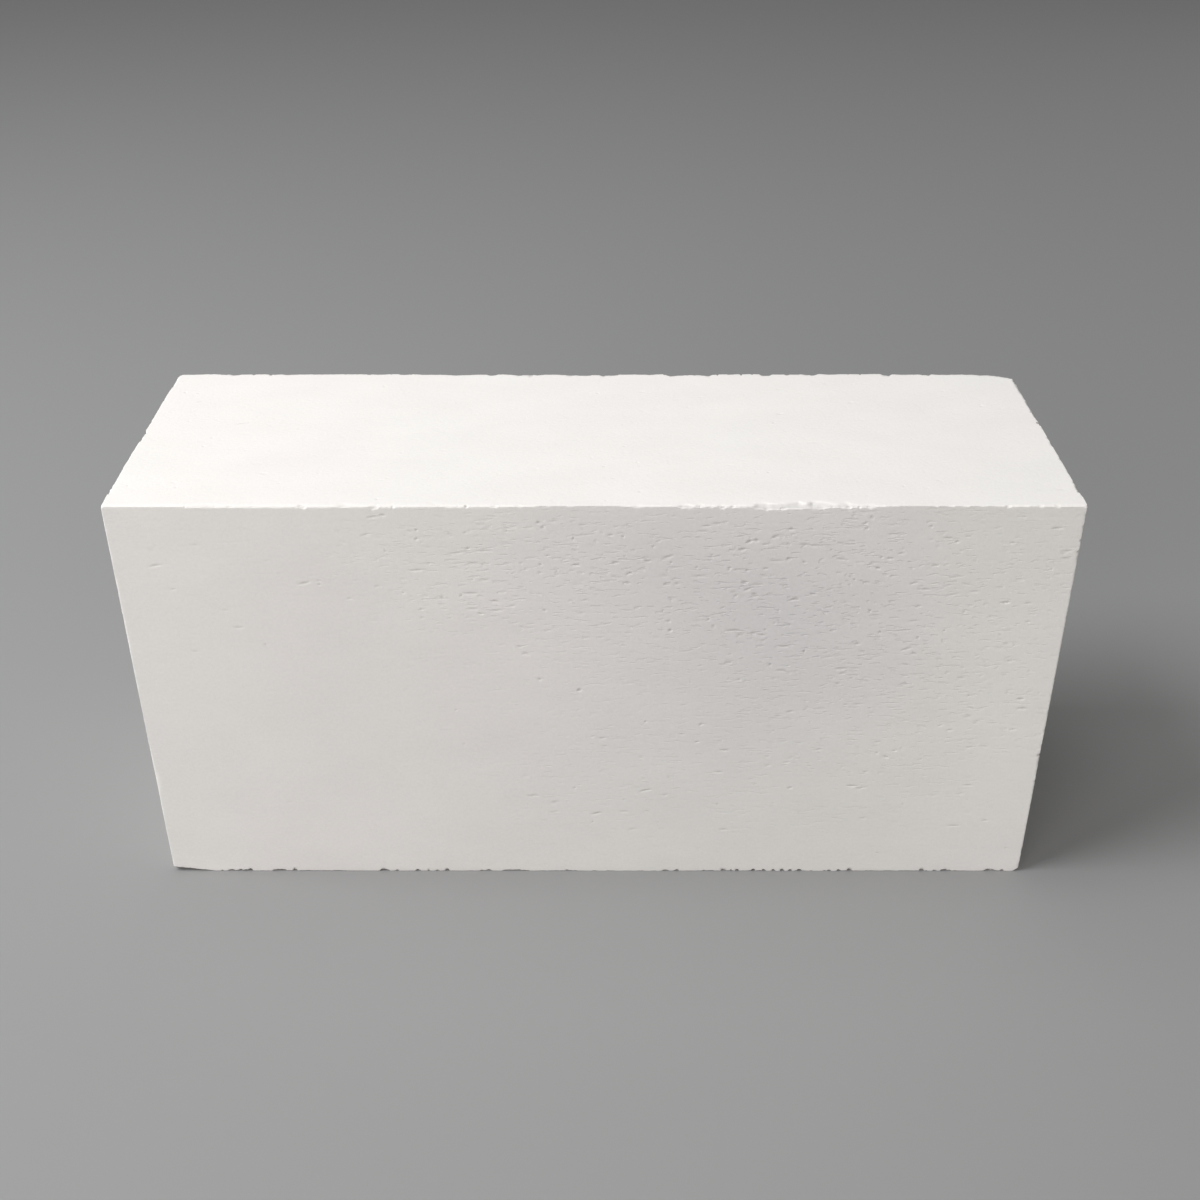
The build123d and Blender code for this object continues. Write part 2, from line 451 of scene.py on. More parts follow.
    (22.4, 16.8, 0.8, 0.26, 0.08, 4),
    (23.1, 13.0, 0.7, 0.32, 0.10, 0),
    (6.0, 12.6, 1.6, 0.32, 0.09, 13),
    (8.4, 11.9, 0.8, 0.26, 0.06, 4),
    (-7.3, 11.8, 1.8, 0.28, 0.07, 2),
    (-4.7, 10.8, 1.6, 0.50, 0.06, 14),
    (0.2, 9.1, 1.5, 0.30, 0.10, 12),
    (3.5, 9.4, 1.2, 0.26, 0.06, 0),
    (6.2, 9.5, 0.8, 0.26, 0.06, 0),
    (15.5, 6.6, 1.2, 0.34, 0.08, 0),
    (4.4, 6.6, 0.8, 0.26, 0.05, 0),
    (0.9, 20.3, 0.8, 0.26, 0.07, 0),
    (5.4, 17.5, 0.7, 0.26, 0.05, 0),
    (-2.4, 13.0, 0.5, 0.26, 0.06, 0),
    (50.6, 45.3, 1.5, 0.22, 0.08, 0),
    (50.7, 44.4, 1.3, 0.22, 0.07, 0),
    (50.1, 42.4, 0.9, 0.22, 0.06, 0),
]

# Random pits and ticks besides: how many on the front face and on each square millimetre of the
# others, how long and deep a tick is, and what share of them are round pits instead.
FRONT_SCATTER = 420
OTHER_SCATTER = 0.06
TICK_LENGTH, LONGEST_TICK = 0.65, 2.4
TICK_DEPTH, DEEPEST_TICK = 0.03, 0.10
PIT_SHARE = 0.08
PIT_LENGTH = 0.3
MARGIN_ACROSS, MARGIN_UP = 0.8, 0.6  # strips along a face's border that have none

# Broad patches of the front face with painted light and shade: the darker ones are painted shade where
# the face is rough, and the lighter one at the right end is painted light from the right. Middle across
# and up, spread across and up, and how much lighter.
LIGHT_AND_SHADE_PATCHES = [
    (21.0, 36.0, 10.0, 10.0, -0.075),
    (4.0, 44.0, 8.0, 5.0, -0.045),
    (6.0, 16.0, 12.0, 10.0, -0.02),
    (51.0, 16.0, 9.0, 20.0, 0.075),
    (-47.0, 30.0, 7.0, 25.0, 0.02),
]

SEED = 4  # of the random chips, pits and ticks

# How torn every face is, how much more torn the hidden upright faces are, and how uneven that is.
PLAIN_TEAR = 0.2
HIDDEN_TEAR = 0.25
HIDDEN_UNEVEN = 0.35

# Where the front face is most torn: middle across and up, spread across and up, and the share of
# the random marks.
TORN = [
    (19.0, 42.0, 18.0, 7.0, 0.43),
    (-10.0, 42.5, 9.0, 5.0, 0.15),
    (34.0, 30.0, 14.0, 9.0, 0.24),
    (16.0, 14.0, 23.0, 8.0, 0.14),
]
FRONT_TEAR = 1.9  # how torn a patch with all of them would be


def noise(points, cell, seed):
    """Smooth random values from -1 to 1, with bumps about one cell wide."""
    place = points / cell
    corner = np.floor(place).astype(np.int64)
    part = place - corner
    part = part * part * (3 - 2 * part)
    total = np.zeros(place.shape[:-1])
    for shift in np.ndindex(2, 2, 2):
        weight = np.prod(np.where(shift, part, 1 - part), axis=-1)
        key = (corner + shift) @ np.array([73856093, 19349663, 83492791]) + seed * 7919
        key = (key & 0xFFFFFFFF) * 0x9E3779B1 & 0xFFFFFFFF
        key = (key ^ key >> 15) * 0x85EBCA77 & 0xFFFFFFFF
        key = key ^ key >> 13
        total += weight * (key / 0x7FFFFFFF - 1)
    return total


def smooth_step(value):
    """0 below 0, 1 above 1 and a smooth rise between."""
    value = np.clip(value, 0, 1)
    return value * value * (3 - 2 * value)


def others(axis):
    """The two axes that are not this one."""
    return [k for k in (X, Y, Z) if k != axis]


def side_place(axis, side):
    """Where the block's face on that side of the axis lies."""
    return HIGH[axis] if side > 0 else LOW[axis]


def face_place(axis, side, up):
    """Where a face of the block lies at that height: the left end leans in towards its foot."""
    if (axis, side) == (X, -1):
        return LOW[X] + LEFT_END_LEAN * (HIGH[Z] - up) / SIZE[Z]
    return side_place(axis, side)


def unit(axis, length=1.0):
    """A vector of that length along one axis."""
    return np.eye(3)[axis] * length


MARKS = ["cut_depth", "hollow", "torn", "tone"]  # what each surface point tells the material


class Surface:
    """One face of the block as a lattice of points, and the ray from the core through each."""

    def __init__(self, axis, side):
        self.axis, self.side = axis, side
        self.across = others(axis)
        b, c = self.across
        self.lines = [np.linspace(LOW[k], HIGH[k], STEPS[k] + 1) for k in (b, c)]
        self.flat = np.zeros((STEPS[b] + 1, STEPS[c] + 1, 3))
        self.flat[..., axis] = side_place(axis, side)
        self.flat[..., b] = self.lines[0][:, None]
        self.flat[..., c] = self.lines[1][None, :]
        self.core = np.clip(self.flat, LOW + CORE, HIGH - CORE)
        self.ray = self.flat - self.core
        self.length = np.linalg.norm(self.ray, axis=-1)
        self.reach = np.ones(self.flat.shape[:2])
        self.cut_depth = np.zeros(self.flat.shape[:2])
        self.hollow = np.zeros(self.flat.shape[:2])
        self.torn = np.zeros(self.flat.shape[:2])
        self.tone = np.zeros(self.flat.shape[:2])

    def window(self, low, high):
        """The lattice rows and columns that lie within a box, or None."""
        if not low[self.axis] <= side_place(self.axis, self.side) <= high[self.axis]:
            return None
        found = []
        for k, line in zip(self.across, self.lines):
            first, last = np.searchsorted(line, (low[k], high[k]))
            if first >= last:
                return None
            found.append(slice(first, last))
        return tuple(found)

    def cut(self, part, limit):
        """Brings the surface in to a limit on its rays, and notes how much was lost, which the material
        darkens as painted shade in chips and bevels.
        """
        lost = np.maximum(self.reach[part] - limit, 0)
        self.cut_depth[part] = np.maximum(self.cut_depth[part], lost * self.length[part])
        self.reach[part] -= lost

    def points(self):
        """Where the surface now lies at each lattice point."""
        return self.core + self.ray * self.reach[..., None]


def cut_waves(surface):
    """Makes each sawn face very slightly wavy, and leans the left end in."""
    for axis, side in [(k, s) for k in (X, Y, Z) for s in (-1, 1)]:
        ray = surface.ray[..., axis] * side
        facing = ray > 1e-6
        if not facing.any():
            continue
        place = surface.flat.copy()
        place[..., axis] = side_place(axis, side)
        points = place[facing]
        swell = 0.5 + 0.5 * noise(points, SWELL_WIDTH, 11 + axis)
        ripple = 0.5 + 0.5 * noise(points, RIPPLE_WIDTH, 21 + axis + side)
        lean = np.abs(face_place(axis, side, points[:, Z]) - side_place(axis, side))
        limit = (CORE - lean - SWELLS[axis] * swell - RIPPLES[axis] * ripple) / ray[facing]
        surface.reach[facing] = np.minimum(surface.reach[facing], limit)


def bevel_depth(name, number, points, along):
    """How far an arris is cut back at each point: an uneven bevel, with steps where crumbs fell out."""
    base, uneven, _ = CRISP[name]
    depth = base + uneven * (0.5 + 0.35 * noise(points, 1.4, 31 + number))
    depth += 0.8 * uneven * np.maximum(noise(points, 4.5, 41 + number), -0.3)
    crumbs = smooth_step(5 * noise(points, 0.8, 51 + number) - 1.2)
    depth += 1.1 * uneven * crumbs * (0.7 + 0.5 * noise(points, 0.35, 61 + number))
    depth += 0.3 * uneven * noise(points, 0.24, 71 + number)
    for edge, middle, half, extra in RUBBED:
        if edge == name:
            share = smooth_step(1.6 - 1.6 * np.abs(along - middle) / half)
            depth += extra * share * (0.75 + 0.5 * noise(points, 0.8, 91 + number))
    return np.maximum(depth, 0.02)


def cut_arrises(surface):
    """Crumbles every sharp edge: a narrow uneven bevel, deeper where it was rubbed."""
    for number, (name, (axis, side_b, side_c)) in enumerate(EDGES.items()):
        b, c = others(axis)
        near = np.abs(surface.flat[..., b] - side_place(b, side_b)) < CORE
        near &= np.abs(surface.flat[..., c] - side_place(c, side_c)) < CORE
        if not near.any():
            continue
        points = surface.flat[near]
        edge_b, edge_c = face_place(b, side_b, points[:, Z]), face_place(c, side_c, points[:, Z])
        turn = np.radians(CRISP[name][2] + 16 * noise(points, 2.4, 171 + number))
        cos, sin = side_b * np.cos(turn), side_c * np.sin(turn)
        slope = surface.ray[near][:, b] * cos + surface.ray[near][:, c] * sin
        start = surface.core[near][:, b] * cos + surface.core[near][:, c] * sin
        depth = bevel_depth(name, number, points, points[:, axis])
        limit = (edge_b * cos + edge_c * sin - depth - start) / np.maximum(slope, 1e-6)
        surface.cut(near, limit)


def cut_corners(surface):
    """Breaks the worn corners off with rough, slightly curved facets."""
    for number, (sides, legs) in enumerate(CORNERS):
        sides, legs = np.array(sides), np.array(legs)
        corner = np.where(sides > 0, HIGH, LOW)
        span = np.maximum(legs * 1.3, 0.6)
        part = surface.window(corner - span, corner + span)
        if part is None:
            continue
        normal = sides / legs
        size = np.linalg.norm(normal)
        normal = normal / size
        offset = corner @ normal - 1 / size
        points = surface.flat[part]
        offset = offset - 0.04 * (0.5 + 0.5 * noise(points, 0.5, 111 + number))
        offset = offset - 0.03 * noise(points, 0.22, 131 + number)
        slope = surface.ray[part] @ normal
        limit = (offset - surface.core[part] @ normal) / np.maximum(slope, 1e-6)
        surface.cut(part, np.where(slope > 1e-3, limit, NO_LIMIT))


def scoop_chip(surface, chip):
    """Scoops one rough shell-shaped chip out of an edge."""
    name, place, length, depth, lean = chip
    axis, side_b, side_c = EDGES[name]
    b, c = others(axis)
    radius = (BITE_RADIUS if name in BITTEN else SHELL_RADIUS) * depth
    turn = math.radians(45 + 30 * lean)
    outward = unit(b, side_b * math.cos(turn)) + unit(c, side_c * math.sin(turn))
    up = place if axis == Z else side_place(Z, side_c)
    centre = unit(b, face_place(b, side_b, up)) + unit(c, side_place(c, side_c))
    centre = centre + outward * (radius - depth) + unit(axis, place)
    stretch = length / 2 / math.sqrt(2 * radius * depth - depth**2)
    span = np.full(3, radius + 0.4)
    span[axis] = radius * stretch + 0.3
    part = surface.window(centre - span, centre + span)
    if part is None:
        return
    squeeze = np.ones(3)
    squeeze[axis] = 1 / stretch
    seed = round(abs(place) * 10) + 7
    flat = surface.flat[part]
    warp = [noise(flat, 0.45, seed + 500 * k) * 0.45 * depth for k in range(3)]
    start = (surface.core[part] - centre) * squeeze + np.stack(warp, -1)
    ray = surface.ray[part] * squeeze
    rough = radius + 0.22 * depth * noise(flat, 0.3, seed)
    square = (ray**2).sum(-1)
    half = (start * ray).sum(-1)
    inside = half**2 - square * ((start**2).sum(-1) - rough**2)
    entry = (-half - np.sqrt(np.maximum(inside, 0))) / square
    limit = np.where((inside > 0) & (entry > 0), entry, NO_LIMIT)
    surface.cut(part, limit)


def small_chips(random):
    """Small chips scattered along the edges, more of them where an edge is crumbled."""
    chips = []
    for name, (axis, _, _) in EDGES.items():
        start, end = LOW[axis] + CLEAR_OF_CORNER, HIGH[axis] - CLEAR_OF_CORNER
        spans = [(start, end, CHIPS_PER_MM.get(name, OTHER_CHIPS_PER_MM))]
        spans += [span for edge, *span in CRUMBLED if edge == name]
        for start, end, per_mm in spans:
            for _ in range(round((end - start) * per_mm)):
                length = min(SMALL_CHIP_LENGTH * math.exp(random.normal(0, 0.5)), LONGEST_SMALL_CHIP)
                depth = min(SMALL_CHIP_DEPTH * math.exp(random.normal(0, 0.45)), DEEPEST_SMALL_CHIP)
                depth += CRISP[name][0]
                lean = random.uniform(-0.5, 1.0)
                chips.append((name, random.uniform(start, end), length, depth, lean))
    return chips


def press_pits(surface, pits, warp):
    """Presses shallow hollows into one face: across, up, length, height, depth, tilt in degrees."""
    b, c = surface.lines
    for across, up, length, height, depth, tilt in pits:
        half = max(length, height) / 2 + 0.15
        low, high = np.array((across, up)) - half, np.array((across, up)) + half
        rows = slice(*np.searchsorted(b, (low[0], high[0])))
        columns = slice(*np.searchsorted(c, (low[1], high[1])))
        right = b[rows, None] - across + warp[0][rows, columns]
        above = c[None, columns] - up + warp[1][rows, columns]
        cos, sin = math.cos(math.radians(tilt)), math.sin(math.radians(tilt))
        along = (right * cos + above * sin) * 2 / length
        over = (above * cos - right * sin) * 2 / height
        fill = np.clip(1 - np.abs(along) ** 1.5 - over**2, 0, 1) ** 0.6
        fill *= 0.8 + 0.4 * np.clip(over, -1, 1)
        surface.hollow[rows, columns] = np.maximum(surface.hollow[rows, columns], depth * fill)


def scattered_pits(surface, random, count, places):
    """Pits and short saw ticks strewn over one face, at the places that are asked for."""
    b, c = surface.lines
    pits = []
    for _ in range(count):
        across, up = places(random)
        if not b[0] + MARGIN_ACROSS < across < b[-1] - MARGIN_ACROSS:
            continue
        if not c[0] + MARGIN_UP < up < c[-1] - MARGIN_UP:
            continue
        length = min(TICK_LENGTH * math.exp(random.normal(0, 0.45)), LONGEST_TICK)
        height = random.uniform(0.18, 0.27)
        depth = min(TICK_DEPTH * math.exp(random.normal(0, 0.5)), DEEPEST_TICK)
        if random.uniform() < PIT_SHARE:
            length, depth = PIT_LENGTH, random.uniform(0.06, 0.12)
        pits.append((across, up, max(length, height), height, depth, random.normal(2, 6)))
    return pits


def torn_places(random):
    """A place on the front face, more often where the face is torn."""
    draw = random.uniform()
    for across, up, spread_across, spread_up, share in TORN:
        if draw < share:
            return random.normal(across, spread_across), random.normal(up, spread_up)
        draw -= share
    return random.uniform(LOW[X], HIGH[X]), random.uniform(LOW[Z], HIGH[Z])


def even_places(surface):
    """A function that gives places spread evenly over one face."""
    b, c = surface.lines

    def places(random):
        return random.uniform(b[0], b[-1]), random.uniform(c[0], c[-1])

    return places


def blob(surface, across, up, spread_across, spread_up):
    """A soft round patch on the front face: 1 in its middle, falling to 0 around it."""
    right = (surface.flat[..., X] - across) / spread_across
    above = (surface.flat[..., Z] - up) / spread_up
    return np.exp(-(right**2 + above**2) / 2)


def shade_face(surface):
    """Notes how torn the surface is, and the painted light and shade of the front face's broad patches.
    """
    surface.torn += PLAIN_TEAR
    if surface.axis != Z and (surface.axis, surface.side) != (Y, -1):
        surface.torn += HIDDEN_TEAR + HIDDEN_UNEVEN * noise(surface.flat, 13.0, 181)
    if (surface.axis, surface.side) == (Y, -1):
        for *place, share in TORN:
            surface.torn += FRONT_TEAR * share * blob(surface, *place)
        for *place, lighter in LIGHT_AND_SHADE_PATCHES:
            surface.tone += lighter * blob(surface, *place)
    surface.torn = np.minimum(surface.torn, 1.0)


def edge_fade(surface):
    """0 on the face's border and 1 a little way in, so that neighbouring faces still meet."""
    fades = []
    for line in surface.lines:
        inset = np.minimum(line - line[0], line[-1] - line)
        fades.append(smooth_step((inset - 0.1) / 0.3))
    return fades[0][:, None] * fades[1][None, :]


def press_face(surface, random):
    """Adds the pits, ticks and tearing of one face."""
    warp = [0.05 * noise(surface.flat, 0.6, 161), 0.025 * noise(surface.flat, 0.5, 162)]
    if (surface.axis, surface.side) == (Y, -1):
        pits = FRONT_PITS + scattered_pits(surface, random, FRONT_SCATTER, torn_places)
    else:
        area = np.prod([line[-1] - line[0] for line in surface.lines])
        pits = scattered_pits(surface, random, round(area * OTHER_SCATTER), even_places(surface))
    press_pits(surface, pits, warp)
    surface.hollow *= edge_fade(surface)
    surface.reach -= surface.hollow / surface.length


def cell_error(points, step):
    """How far the surface strays from each cell of that many steps, if the cell is one patch."""
    knots = points[::step, ::step]
    rows, columns = knots.shape[0] - 1, knots.shape[1] - 1
    worst = np.zeros((rows, columns))
    for i in range(step + 1):
        share = i / step
        line = (1 - share) * knots[:-1] + share * knots[1:]
        for j in range(step + 1):
            part = j / step
            guess = (1 - part) * line[:, :-1] + part * line[:, 1:]
            real = points[i::step, j::step][:rows, :columns]
            worst = np.maximum(worst, ((real - guess) ** 2).sum(-1))
    return np.sqrt(worst)


def pool(cells):
    """True for each 2 by 2 group of cells in which any is true."""
    rows, columns = cells.shape
    return cells.reshape(rows // 2, 2, columns // 2, 2).any(axis=(1, 3))


def spread(cells):
    """True for each true cell and its four neighbours."""
    grown = cells.copy()
    grown[1:] |= cells[:-1]
    grown[:-1] |= cells[1:]
    grown[:, 1:] |= cells[:, :-1]
    grown[:, :-1] |= cells[:, 1:]
    return grown


def border(cells, surface, axis, side):
    """The row of a face's cells along its border with the face on that side of the axis."""
    end = 0 if side < 0 else -1
    return cells[end, :] if surface.across[0] == axis else cells[:, end]


def share_borders(split, surfaces):
    """Makes the cells on both sides of every edge of the block equally fine."""
    for axis, side_b, side_c in EDGES.values():
        b, c = others(axis)
        rows = []
        for key, (over, side) in (((b, side_b), (c, side_c)), ((c, side_c), (b, side_b))):
            rows.append(border(split[key], surfaces[key], over, side))
        both = rows[0] | rows[1]
        rows[0][:] = both
        rows[1][:] = both


def cell_counts(surface):
    """How many of the finest cells one face has each way."""
    return tuple(STEPS[k] for k in surface.across)


def split_cells(surfaces):
    """For each level and face, which cells have to be split to follow the surface."""
    levels = {0: {key: np.zeros(cell_counts(s), bool) for key, s in surfaces.items()}}
    for level in range(1, LEVELS + 1):
        split = {}
        for key, surface in surfaces.items():
            finer = pool(levels[level - 1][key])
            if level > 1:
                finer |= pool(spread(levels[level - 1][key]))
            allowed = FLATNESS.get(key, OTHER_FLATNESS)
            split[key] = finer | (cell_error(surface.points(), 2**level) > allowed)
        share_borders(split, surfaces)
        levels[level] = split
    return levels


def leaf_cells(levels, key):
    """The cells of one face that are kept, as (first row, first column, size) of each."""
    found = []
    wanted = np.ones_like(levels[LEVELS][key])
    for level in range(LEVELS, -1, -1):
        split = levels[level][key] if level else np.zeros_like(wanted)
        rows, columns = np.nonzero(wanted & ~split)
        size = 2**level
        found.append(np.stack([rows * size, columns * size, np.full(len(rows), size)], 1))
        wanted = np.repeat(np.repeat(wanted & split, 2, 0), 2, 1)
    return np.concatenate(found)


def lattice_keys(surface, rows, columns):
    """One whole number for each lattice point, the same on every face that shares it."""
    place = [None, None, None]
    place[surface.axis] = STEPS[surface.axis] if surface.side > 0 else 0
    place[surface.across[0]] = rows
    place[surface.across[1]] = columns
    return (place[X] * (STEPS[Y] + 1) + place[Y]) * (STEPS[Z] + 1) + place[Z]


def face_polygons(surface, cells):
    """The quads and triangles of one face, as lattice rows and columns, facing outwards."""
    used = np.zeros(surface.flat.shape[:2], bool)
    row, column, size = cells.T
    ring = [(0, 0), (1, 0), (1, 1), (0, 1)]
    for i, j in ring:
        used[row + i * size, column + j * size] = True
    big = size > 1
    half = size // 2
    middles = [(1, 0), (2, 1), (1, 2), (0, 1)]
    halfway = np.stack([used[row + i * half, column + j * half] & big for i, j in middles], 1)
    plain = ~halfway.any(1)
    quads = np.stack([[(row + i * size)[plain], (column + j * size)[plain]] for i, j in ring], 0)
    quads = quads.transpose(2, 0, 1)
    triangles = []
    for r, c, s, has in zip(*[v[~plain] for v in (row, column, size, halfway)]):
        outline = []
        for n in range(4):
            outline.append((r + ring[n][0] * s, c + ring[n][1] * s))
            if has[n]:
                start = len(outline)
                outline.append((r + middles[n][0] * s // 2, c + middles[n][1] * s // 2))
        outline = outline[start:] + outline[:start]
        for first, second in zip(outline[1:], outline[2:]):
            triangles.append((outline[0], first, second))
    triangles = np.array(triangles).reshape(-1, 3, 2)
    outward = 1 if surface.axis != Y else -1
    if outward * surface.side < 0:
        quads, triangles = quads[:, ::-1], triangles[:, ::-1]
    return quads, triangles


def build_block():
    """The whole block as one closed mesh."""
    random = np.random.default_rng(SEED)
    surfaces = {(axis, side): Surface(axis, side) for axis in (X, Y, Z) for side in (-1, 1)}
    chips = CHIPS + small_chips(random)
    for surface in surfaces.values():
        cut_waves(surface)
        cut_arrises(surface)
        cut_corners(surface)
        for chip in chips:
            scoop_chip(surface, chip)
        press_face(surface, random)
        shade_face(surface)
    levels = split_cells(surfaces)
    keys, points, facts, polygons = [], [], [], []
    for key, surface in surfaces.items():
        quads, triangles = face_polygons(surface, leaf_cells(levels, key))
        place = surface.points()
        kinds = np.stack([getattr(surface, name) for name in MARKS], -1)
        for polygon in (quads, triangles):
            rows, columns = polygon[..., 0], polygon[..., 1]
            polygons.append(lattice_keys(surface, rows, columns))
            keys.append(polygons[-1].ravel())
            points.append(place[rows, columns].reshape(-1, 3))
            facts.append(kinds[rows, columns].reshape(-1, len(MARKS)))
    keys, first, where = np.unique(np.concatenate(keys), return_index=True, return_inverse=True)
    points = np.concatenate(points)[first]
    facts = np.concatenate(facts)[first]
    faces, start = [], 0
    for polygon in polygons:
        count = polygon.size
        faces.extend(where[start : start + count].reshape(polygon.shape).tolist())
        start += count
    mesh = bpy.data.meshes.new("block")
    mesh.from_pydata((points * MM).tolist(), [], faces)
    for name, values in zip(MARKS, facts.T):
        mesh.attributes.new(name, "FLOAT", "POINT").data.foreach_set("value", values)
    mesh.polygons.foreach_set("use_smooth", np.ones(len(mesh.polygons), bool))
    mesh.set_sharp_from_angle(angle=math.radians(SHARP_FROM))
    block = bpy.data.objects.new("block", mesh)
    bpy.context.scene.collection.objects.link(block)
    return block


class Nodes:
    """Short ways to add the nodes of one material."""

    def __init__(self, name):
        self.material = bpy.data.materials.new(name)
        self.material.use_nodes = True
        self.tree = self.material.node_tree
        self.shader = self.tree.nodes["Principled BSDF"]
        self.place = self.tree.nodes.new("ShaderNodeTexCoord").outputs["Object"]

    def link(self, source, socket):
        """Feeds a socket from another node's output, or from a constant."""
        if isinstance(source, bpy.types.NodeSocket):
            self.tree.links.new(source, socket)
        else:
            socket.default_value = source

    def attribute(self, name):
        """What the mesh tells the material under that name, one of MARKS."""
        node = self.tree.nodes.new("ShaderNodeAttribute")
        node.attribute_name = name
        return node.outputs["Fac"]

    def noise(self, size, detail=2.0, long=(1, 1, 1)):
        """Noise from 0 to 1 with features of that size in millimetres, drawn out along some axes."""
        mapping = self.tree.nodes.new("ShaderNodeMapping")
        mapping.inputs["Scale"].default_value = [1 / (size * MM * stretch) for stretch in long]
        self.link(self.place, mapping.inputs["Vector"])
        texture = self.tree.nodes.new("ShaderNodeTexNoise")
        texture.inputs["Scale"].default_value = 1.0
        texture.inputs["Detail"].default_value = detail
        self.link(mapping.outputs["Vector"], texture.inputs["Vector"])
        return texture.outputs["Fac"]

    def spread(self, value, low, high, to_low=0.0, to_high=1.0):
        """Carries the range low to high over to another range, and clamps what is outside it."""
        node = self.tree.nodes.new("ShaderNodeMapRange")
        limits = {"From Min": low, "From Max": high, "To Min": to_low, "To Max": to_high}
        for name, number in limits.items():
            node.inputs[name].default_value = number
        self.link(value, node.inputs["Value"])
        return node.outputs["Result"]

    def combine(self, first, second, operation="ADD"):
        """Two values added, or combined by another operation of the Math node."""
        node = self.tree.nodes.new("ShaderNodeMath")
        node.operation = operation
        self.link(first, node.inputs[0])
        self.link(second, node.inputs[1])
        return node.outputs["Value"]

    def mix(self, factor, first, second):
        """A colour between two others."""
        node = self.tree.nodes.new("ShaderNodeMix")
        node.data_type = "RGBA"
        self.link(factor, node.inputs[0])
        self.link(first, node.inputs[6])
        self.link(second, node.inputs[7])
        return node.outputs[2]

    def scale(self, colour, factor):
        """A colour made lighter or darker."""
        node = self.tree.nodes.new("ShaderNodeVectorMath")
        node.operation = "SCALE"
        self.link(colour, node.inputs[0])
        self.link(factor, node.inputs["Scale"])
        return node.outputs["Vector"]


# Two faint tints of plain chalk, the cooler tint of the painted shade in the front's darker patches, and
# the painted shade of chips and bevels and of pits.
PINKISH = (0.930, 0.893, 0.862, 1)
CREAM = (0.925, 0.902, 0.862, 1)
COOL_SHADE = (0.910, 0.889, 0.880, 1)
CHIP_SHADE = (0.770, 0.749, 0.722, 1)
PIT_SHADE = (0.64, 0.61, 0.58, 1)


def chalk_material():
    """Matte white chalk: mottled, grainy and faintly scored, with painted shade in its pits, flecks,
    chips and bevels, and painted light and shade in broad patches of the front.
    """
    chalk = Nodes("chalk")
    grain = chalk.noise(0.35, 3.0)
    mottle = chalk.noise(5.0, 4.0, long=(1.8, 1, 1))
    flecks = chalk.noise(0.32, 1.0, long=(3.2, 3.3, 1))
    scores = chalk.noise(0.55, 2.0, long=(22, 22, 1))
    tone, torn = chalk.attribute("tone"), chalk.attribute("torn")

    tint = chalk.spread(chalk.noise(26.0, 1.0), 0.38, 0.62)
    colour = chalk.mix(tint, PINKISH, CREAM)
    # A cooler tint where the front's broad patches carry painted shade.
    colour = chalk.mix(chalk.spread(tone, -0.09, 0.0, 1.0, 0.0), colour, COOL_SHADE)
    # Pits darkened by their depth: painted shade in the pits.
    colour = chalk.mix(chalk.spread(chalk.attribute("hollow"), 0.012, 0.09, 0.0, 0.65), colour, PIT_SHADE)
    # Chips and bevels darkened by how far they are cut back: painted shade in the chips and on the
    # bevels.
    colour = chalk.mix(chalk.spread(chalk.attribute("cut_depth"), 0.04, 0.2, 0.0, 1.0), colour, CHIP_SHADE)
    # Random mottling, plus the painted light and shade of the front's broad patches.
    light = chalk.combine(chalk.spread(mottle, 0.3, 0.7, 0.985, 1.015), tone)
    light = chalk.combine(light, chalk.spread(grain, 0.25, 0.75, -0.025, 0.025))
    torn_out = chalk.combine(chalk.spread(flecks, 0.29, 0.41, -0.040, 0.0), torn, "MULTIPLY")
    # The torn-out flecks are also darkened in colour: painted shade in the flecks.
    light = chalk.combine(light, chalk.combine(torn_out, 0.8, "MULTIPLY"))
    chalk.link(chalk.scale(colour, light), chalk.shader.inputs["Base Color"])

    chalk.link(chalk.spread(grain, 0.3, 0.7, 0.99, 0.87), chalk.shader.inputs["Roughness"])
    chalk.shader.inputs["Specular IOR Level"].default_value = 0.2
    chalk.shader.inputs["Sheen Weight"].default_value = 0.04
    chalk.shader.inputs["Sheen Roughness"].default_value = 0.6

    # Heights in millimetres: grain everywhere, saw marks, and flecks torn out where it is rough.
    height = chalk.spread(grain, 0.0, 1.0, 0.0, 0.014)
    height = chalk.combine(height, chalk.spread(scores, 0.0, 1.0, 0.0, 0.012))
    height = chalk.combine(height, torn_out)
    bump = chalk.tree.nodes.new("ShaderNodeBump")
    bump.inputs["Strength"].default_value = 1.0
    bump.inputs["Distance"].default_value = MM
    chalk.link(height, bump.inputs["Height"])
    chalk.link(bump.outputs["Normal"], chalk.shader.inputs["Normal"])
    return chalk.material


# The studio, in metres and watts. Each light: name, place, diameter, power, colour.
LIGHTS = [
    ("key", (-0.35, -0.10, 0.50), 0.30, 2.4, (0.995, 1, 1.02)),
    ("overhead", (-0.15, 0.10, 0.60), 0.30, 0.42, (1, 1, 1)),
    ("fill", (-0.30, -0.60, 0.25), 0.40, 1.6, (1, 0.975, 0.965)),
    ("rim", (0.50, 0.35, 0.06), 0.25, 0.36, (1, 1, 1)),
]
LIGHTS_AIM = (0, 0, 0.02)
SKY_COLOUR, SKY_STRENGTH = (1, 1, 1, 1), 0.25
FLOOR_SIZE = 6.0
FLOOR_GREY = (0.32, 0.32, 0.318, 1)
CAMERA_PLACE = (0.00088, -0.15735, 0.12568)
CAMERA_AZIMUTH, CAMERA_ELEVATION, CAMERA_ROLL = 0.10, 31.74, -0.053  # degrees
CAMERA_LENS = 45.15  # millimetres


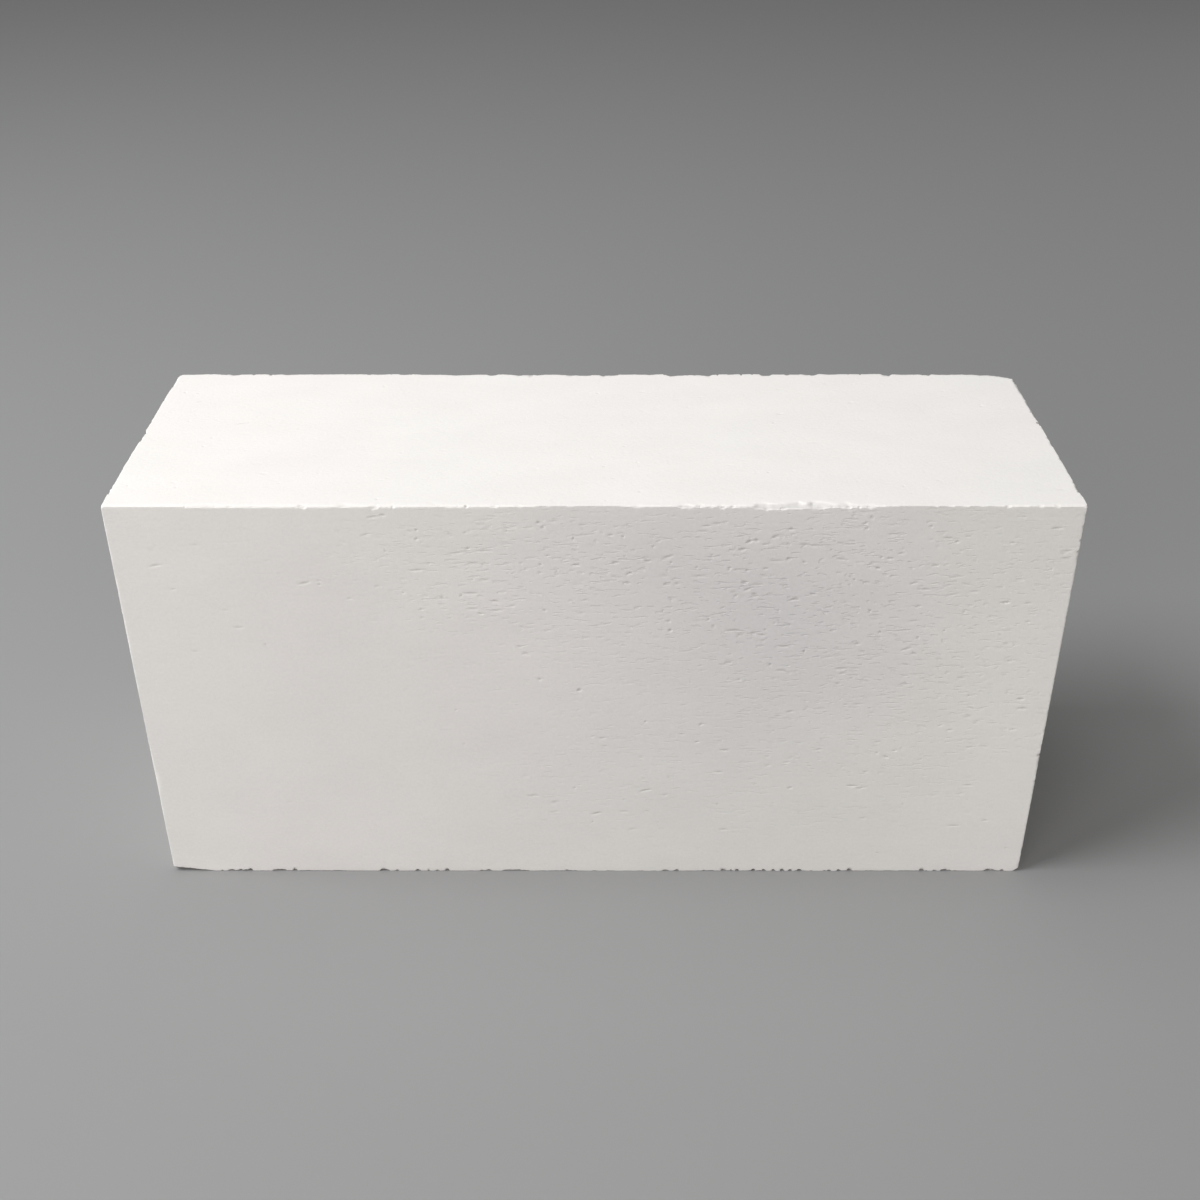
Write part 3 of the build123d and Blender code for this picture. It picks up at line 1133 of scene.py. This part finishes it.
def add_floor():
    """A plain grey floor."""
    mesh = bpy.data.meshes.new("floor")
    half = FLOOR_SIZE / 2
    corners = [(-half, -half, 0), (half, -half, 0), (half, half, 0), (-half, half, 0)]
    mesh.from_pydata(corners, [], [(0, 1, 2, 3)])
    floor = bpy.data.objects.new("floor", mesh)
    bpy.context.scene.collection.objects.link(floor)
    material = bpy.data.materials.new("floor")
    material.use_nodes = True
    shader = material.node_tree.nodes["Principled BSDF"]
    shader.inputs["Base Color"].default_value = FLOOR_GREY
    shader.inputs["Roughness"].default_value = 0.8
    floor.data.materials.append(material)
    return floor


def add_area_light(name, place, size, power, colour):
    """A round soft light, aimed at the block."""
    data = bpy.data.lights.new(name, "AREA")
    data.shape = "DISK"
    data.size = size
    data.energy = power
    data.color = colour
    light = bpy.data.objects.new(name, data)
    light.location = place
    light.rotation_mode = "QUATERNION"
    light.rotation_quaternion = (Vector(LIGHTS_AIM) - Vector(place)).to_track_quat("-Z", "Y")
    bpy.context.scene.collection.objects.link(light)
    return light


def add_world(colour, strength):
    """Even light from all around."""
    world = bpy.data.worlds.new("studio")
    world.use_nodes = True
    background = world.node_tree.nodes["Background"]
    background.inputs["Color"].default_value = colour
    background.inputs["Strength"].default_value = strength
    bpy.context.scene.world = world


def add_camera(place, azimuth, elevation, roll, lens):
    """The camera; azimuth 0 looks along +Y, and the elevation is how far it looks down."""
    a, e = math.radians(azimuth), math.radians(elevation)
    back = Vector((math.sin(a) * math.cos(e), -math.cos(a) * math.cos(e), math.sin(e)))
    data = bpy.data.cameras.new("camera")
    data.lens = lens
    camera = bpy.data.objects.new("camera", data)
    camera.rotation_mode = "QUATERNION"
    turn = (-back).to_track_quat("-Z", "Y").to_matrix().to_4x4()
    turn = turn @ Matrix.Rotation(math.radians(roll), 4, "Z")
    camera.rotation_quaternion = turn.to_quaternion()
    camera.location = place
    bpy.context.scene.collection.objects.link(camera)
    bpy.context.scene.camera = camera


block = build_block()
block.data.materials.append(chalk_material())
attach(block, "root")
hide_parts("chalk_block")

add_floor()
add_world(SKY_COLOUR, SKY_STRENGTH)
for light in LIGHTS:
    add_area_light(*light)
add_camera(CAMERA_PLACE, CAMERA_AZIMUTH, CAMERA_ELEVATION, CAMERA_ROLL, CAMERA_LENS)
bpy.context.scene.view_settings.view_transform = "Standard"
